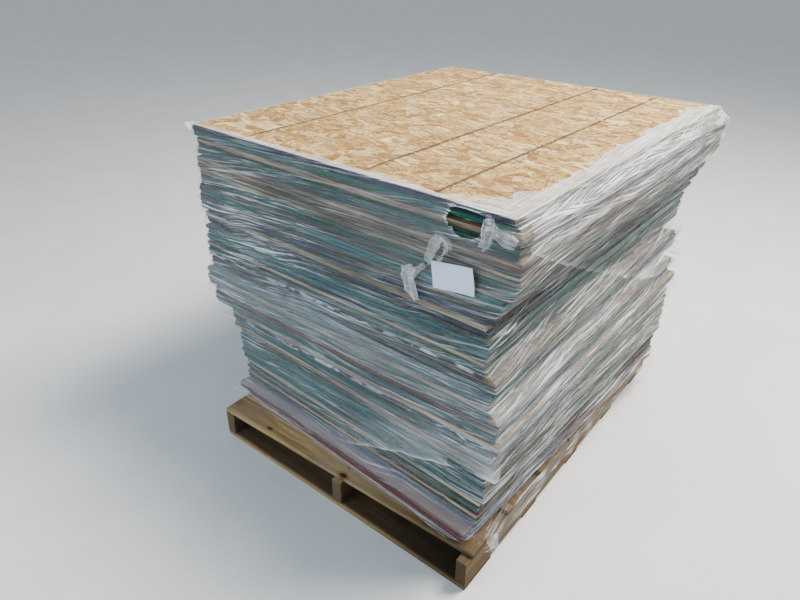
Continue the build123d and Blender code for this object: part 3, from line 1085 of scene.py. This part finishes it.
def cut_tear(points, places, haze):
    """Open the tear in a grid: its faces to leave out, with the rim drawn in and milky."""
    away, near_x, near_z = tear_distance(points[:, :, 0], points[:, :, 2])
    away = np.where((places < NEAR_S)[None] & (points[:, :, 1] < -0.3), away, 9.0)
    rim = np.abs(away) < 0.0042
    points[:, :, 0] = np.where(rim, near_x, points[:, :, 0])
    points[:, :, 2] = np.where(rim, near_z, points[:, :, 2])
    points[:, :, 1] -= 0.0032 * bell(away, 0, 0.007)
    haze += 0.34 * bell(away, 0, 0.006) + 0.02 * bell(away, 0, 0.03)
    inside = (away < 0) | rim
    return inside[:-1, :-1] & inside[1:, :-1] & inside[:-1, 1:] & inside[1:, 1:]


def add_lower_wrap(film, rng):
    """The wrap at the foot, with its hem."""
    places = columns_between(0, AROUND)
    lower = np.full(len(places), DECK_TOP + 0.0025)
    upper = 0.615 + wander(places, 0.5, rng) * 0.02 + wander(places, 0.06, rng) * 0.003
    wall = wall_grid(places, lower, upper, LOWER_LIFT, rng)
    hem = hem_rows(places, wall[0][0], rng)
    points, zeta, milk, lean = map(np.concatenate, zip(hem, wall))
    over_ledge = bell(zeta, 0.162, 0.016) * ease(places, 0, 0.5) * (places < NEAR_S + 0.05)
    on_foot = bell(zeta, 0.135, 0.018, 4) * (places < NEAR_S - 0.01)
    on_deck = bell(zeta, DECK_TOP, 0.004) * (places < NEAR_S - 0.02)
    calm = calm_patch(places, zeta)
    haze = body_haze(places, zeta, milk, lean) * (1 - 0.75 * on_foot) + 0.01 * over_ledge
    haze = haze * (1 - 0.6 * calm)
    veil = (front_veil(places, zeta) + lean * 0.04 + 0.02 * over_ledge + 0.30 * on_deck
            + 0.06 * calm)
    wrap = grid_mesh("film_lower_wrap", points, (places, zeta), haze, veil, film,
                     closed=True, rise=0.02)


def add_upper_wrap(film, rng):
    """The wrap at the top, folded over the top sheet and torn open near its front corner."""
    places = columns_between(0, AROUND, (NEAR_S - 0.24, NEAR_S - 0.07))
    lower = 0.535 + wander(places, 0.6, rng) * 0.02 + wander(places, 0.05, rng) * 0.002
    upper = np.full(len(places), TOP - 0.0005)
    wall = wall_grid(places, lower, upper, UPPER_LIFT, rng)
    fold = fold_rows(places, wall[0][-1], rng)
    points, zeta, milk, lean = map(np.concatenate, zip(wall, fold))
    on_top = np.clip((zeta - TOP) / 0.004, 0, 1)
    on_right = ease(places, NEAR_S - 0.12, NEAR_S - 0.02) * (places < FAR_S + 0.02)
    bare_corner = bell(places, NEAR_S - 0.045, 0.045, 4) * bell(zeta, 1.054, 0.010, 4)
    patchy = 0.75 + 0.5 * field(places, zeta, 0.07, 0.02, rng)
    calm = calm_patch(places, zeta)
    haze = body_haze(places, zeta, milk, lean) + on_top * (0.14 + 0.02 * on_right)
    haze = haze * (1 - 0.6 * calm) * (1 - 0.93 * bare_corner)
    veil = (front_veil(places, zeta) + lean * 0.04 + on_top * patchy * (0.20 + 0.12 * on_right)
            + 0.055 * calm)
    veil = veil * (1 - 0.93 * bare_corner)
    opened = cut_tear(points, places, haze)
    wrap = grid_mesh("film_upper_wrap", points, (places, zeta), haze, veil, film,
                     closed=True, skip=opened, rise=0.075)
    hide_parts("stretch_film")


def add_outer_wrap(film, rng):
    """The wrap over the middle; its lower edge is the flap that rises to the near corner."""
    places = columns_between(0, FAR_S + 0.4)
    flap = np.interp(places, [0, 0.45, 0.602, 0.755, 0.874, 0.974, 1.087, NEAR_S - 0.02,
                              NEAR_S + 0.01, NEAR_S + 0.08, NEAR_S + 0.5, FAR_S, FAR_S + 0.4],
                     [0.128, 0.134, 0.165, 0.229, 0.268, 0.299, 0.332, 0.352,
                      0.352, 0.385, 0.33, 0.27, 0.2])
    lower = flap + wander(places, 0.12, rng) * 0.0016
    bridged = np.interp(places, [0, NEAR_S - 0.42, NEAR_S - 0.03, NEAR_S + 0.02, NEAR_S + 0.14,
                                 AROUND], [0.0, 0.25, 0.452, 0.452, 0.30, 0.0])
    upper = (np.interp(places, [0, NEAR_S, FAR_S, AROUND], [0.66, 0.74, 0.62, 0.5])
             + wander(places, 0.3, rng) * 0.015)
    points, zeta, milk, lean = wall_grid(places, lower, upper, OUTER_LIFT, rng, bridged)
    edge = np.exp(-(zeta - lower) / 0.0045)
    band = ease(zeta - lower, 0.135, 0.075)
    on_front = ease(places, NEAR_S + 0.03, NEAR_S - 0.02)
    bright = ease(places, 0.45, 0.95) * on_front
    tip = bell(places, NEAR_S - 0.01, 0.035, 1) * np.exp(-(zeta - lower) / 0.03)
    haze = (0.4 * side_haze(places) * right_haze(places, zeta) + 0.7 * milk * crest_share(places)
            + edge * (0.30 * on_front + 0.06) + 0.3 * tip + band * 0.05 * bright)
    veil = (edge * (0.42 * on_front * bright + 0.06) + 0.55 * tip + band * 0.13 * bright
            + lean * 0.03)
    wrap = grid_mesh("film_outer_wrap", points, (places + 0.3, zeta + 0.4), haze, veil, film)


def add_last_turn(film, rng):
    """The last turn; its lower edge is the seam that runs down across the right side."""
    places = columns_between(NEAR_S + 0.03, FAR_S + 0.5)
    lower = np.interp(places - NEAR_S, [0.03, 0.15, 0.44, 0.65, 0.78, 0.99, 1.4, 2.0],
                      [0.988, 0.923, 0.776, 0.682, 0.628, 0.545, 0.47, 0.42])
    lower = lower + wander(places, 0.05, rng) * 0.003
    upper = np.full(len(places), TOP - 0.0005)
    points, zeta, milk, lean = wall_grid(places, lower, upper, LAST_LIFT, rng)
    edge = bell(zeta, lower, 0.008, 1)
    haze = 0.055 * right_haze(places, zeta) + milk * 0.20 + edge * 0.12
    veil = edge * 0.18 + lean * 0.03
    wrap = grid_mesh("film_last_turn", points, (places + 0.7, zeta + 0.05 * places), haze, veil,
                     film)


RIBBON_COLUMNS, RIBBON_ROW = 26, 0.0022
# Steps along and across a strip, and how much of its crumple each pair gives
CRUMPLES = ((0.012, 0.011, 1.0), (0.006, 0.006, 0.45), (0.05, 0.007, 0.7))
# Path, widths along it, direction across it, crumple, seed and haze of each loose strip
RIBBONS = {
    "film_loop_left": (
        [(0.305, -0.564, 0.986), (0.297, -0.575, 0.962), (0.284, -0.572, 0.934),
         (0.272, -0.566, 0.906)],
        [0.022, 0.028, 0.024, 0.016], (1, 0, 0.2), 0.0026, 21, 0.5),
    "film_loop_right": (
        [(0.303, -0.565, 0.986), (0.330, -0.574, 0.984), (0.339, -0.576, 0.968),
         (0.322, -0.573, 0.940), (0.300, -0.567, 0.915)],
        [0.014, 0.020, 0.020, 0.016, 0.012], (0.6, 0, 1), 0.0022, 22, 0.4),
    "film_knot_upper": (
        [(0.262, -0.561, 0.897), (0.248, -0.570, 0.884), (0.232, -0.575, 0.868),
         (0.216, -0.571, 0.850)],
        [0.016, 0.022, 0.030, 0.036], (0.4, 0, 1), 0.0040, 23, 0.55),
    "film_knot_lower": (
        [(0.206, -0.560, 0.878), (0.216, -0.571, 0.862), (0.226, -0.578, 0.842),
         (0.232, -0.574, 0.818), (0.238, -0.565, 0.792)],
        [0.030, 0.038, 0.034, 0.036, 0.044], (1, 0, 0.15), 0.0046, 24, 0.75),
    "film_tatter_side": (
        [(0.428, -0.553, 1.057), (0.436, -0.566, 1.042), (0.439, -0.573, 1.022),
         (0.433, -0.571, 1.002), (0.420, -0.566, 0.988)],
        [0.030, 0.034, 0.030, 0.030, 0.020], (1, 0.2, 0.1), 0.0040, 25, 0.30),
    "film_tatter_corner": (
        [(0.440, -0.560, 1.046), (0.462, -0.568, 1.036), (0.484, -0.566, 1.026),
         (0.502, -0.556, 1.016)],
        [0.018, 0.026, 0.030, 0.022], (0, 0.2, 1), 0.0034, 26, 0.34),
    "film_corner_tip": (
        [(-0.728, -0.497, 1.060), (-0.740, -0.502, 1.064), (-0.749, -0.503, 1.067),
         (-0.757, -0.502, 1.069)],
        [0.030, 0.026, 0.016, 0.006], (0.2, 1, 0.2), 0.0020, 28, 0.5),
    "film_hem_tail": (
        [(0.520, -0.556, 0.120), (0.534, -0.570, 0.106), (0.547, -0.574, 0.092),
         (0.556, -0.572, 0.078)],
        [0.044, 0.038, 0.026, 0.008], (0.2, 1, 0.3), 0.0034, 27, 0.20),
}


def add_ribbon(name, film, path, widths, across, crumple, seed, haze):
    """A loose strip of film along a path: gathered, crumpled and turned about its line."""
    rng = np.random.default_rng(seed)
    path = np.array(path)
    steps = np.linalg.norm(np.diff(path, axis=0), axis=1)
    marks = np.concatenate(([0], np.cumsum(steps)))
    rows = max(12, int(marks[-1] / RIBBON_ROW))
    at = np.linspace(0, marks[-1], rows)
    line = np.stack([np.interp(at, marks, path[:, k]) for k in range(3)], 1)
    for _ in range(6):
        line[1:-1] = (line[:-2] + 2 * line[1:-1] + line[2:]) / 4
    width = np.interp(at, marks, widths) * (1 + 0.18 * wander(at, 0.02, rng))
    across = np.array(across) / np.linalg.norm(across)
    ahead = np.gradient(line, axis=0)
    ahead /= np.linalg.norm(ahead, axis=1, keepdims=True)
    outward = np.cross(ahead, across)
    outward /= np.linalg.norm(outward, axis=1, keepdims=True)
    side = np.cross(outward, ahead)
    share = np.linspace(-0.5, 0.5, RIBBON_COLUMNS)
    u, v = at[:, None], share * 0.03
    fold = crumple * sum(field(u, v, long, wide, rng) * part for long, wide, part in CRUMPLES)
    gather = crumple * 0.3 * field(u, v, 0.016, 0.012, rng)
    turn = (0.35 * wander(at, 0.03, rng))[:, None, None]
    reach = (share * width[:, None] + gather)[:, :, None]
    turned = side[:, None] * np.cos(turn) + outward[:, None] * np.sin(turn)
    points = line[:, None] + reach * turned + fold[:, :, None] * outward[:, None]
    rim = np.exp(-(0.5 - np.abs(share)) / 0.06)
    crest = np.clip(np.abs(fold) / crumple, 0, 1.4)
    milk = haze * (0.35 + 0.6 * crest ** 1.5 + 0.9 * rim)
    piece = grid_mesh(name, points, (u + seed, v * 3 + 0.1 * seed), milk, haze * 0.22, film)


def add_film():
    """The four wraps, which share their random draws, and the loose strips."""
    rng = np.random.default_rng(5)
    film = film_material("stretch_film", 1.0)
    for add_wrap in (add_lower_wrap, add_upper_wrap, add_outer_wrap, add_last_turn):
        add_wrap(film, rng)
    film = film_material("loose_film", 0.7)
    for name, strip in RIBBONS.items():
        add_ribbon(name, film, *strip)


# Label

PAPER = 0.00035          # thickness of the tag


def add_label():
    """The paper tag: bare, a little curled at its corners."""
    points = mesh_points("label")
    middle = (points.max(0) + points.min(0)) / 2
    _, _, axes = np.linalg.svd(points - points.mean(0), full_matrices=False)
    long_way = axes[0] * np.sign(axes[0][0])
    out = axes[2] * -np.sign(axes[2][1])
    up = np.cross(out, long_way)
    up *= np.sign(up[2])
    half_long, half_up = (float(np.ptp((points - middle) @ way)) / 2 for way in (long_way, up))
    u, v = np.meshgrid(np.linspace(-1, 1, 31), np.linspace(-1, 1, 19))
    curl = (0.0034 * np.maximum(0, u * 0.75 + v * 0.55 - 0.35) ** 2
            + 0.0042 * np.maximum(0, u * 0.6 - v * 0.75 - 0.45) ** 2
            + 0.0020 * np.maximum(0, -u * 0.6 - v * 0.7 - 0.5) ** 2
            + 0.0005 * np.sin(u * 3.1 + v * 1.3) ** 2)
    flat = middle + u[..., None] * half_long * long_way + v[..., None] * half_up * up
    points = np.stack([flat + (curl + depth)[..., None] * out for depth in (0.0, PAPER)])
    rows, count = u.shape
    total = rows * count
    faces = [(a, d, c, b) for a, b, c, d in grid_faces(rows, count)]
    faces += grid_faces(rows, count, total)
    numbers = np.arange(total).reshape(rows, count)
    rim = [*numbers[0, :-1], *numbers[:-1, -1], *numbers[-1, :0:-1], *numbers[:0:-1, 0]]
    faces += [(a, b, total + b, total + a) for a, b in zip(rim, rim[1:] + rim[:1])]
    tag = add_mesh("paper_label", points.reshape(-1, 3), faces, [paper_material()])
    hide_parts("label")


def add_floor():
    bpy.ops.mesh.primitive_plane_add(size=400)
    floor = bpy.context.object
    floor.name = "floor"
    floor.data.materials.append(floor_material())


add_camera()
add_world()
add_lamp("key", (1.35, 1.5, 4.3), (0, 0, 0.9), (1.7, 1.7), 490, (1.0, 0.95, 0.86))
add_lamp("fill", (-1.2, -3.8, 2.6), (0, 0, 0.5), (2.4, 1.8), 70, (0.60, 0.82, 1.0))
add_floor()
add_pallet()
add_panels()
add_film()
add_label()
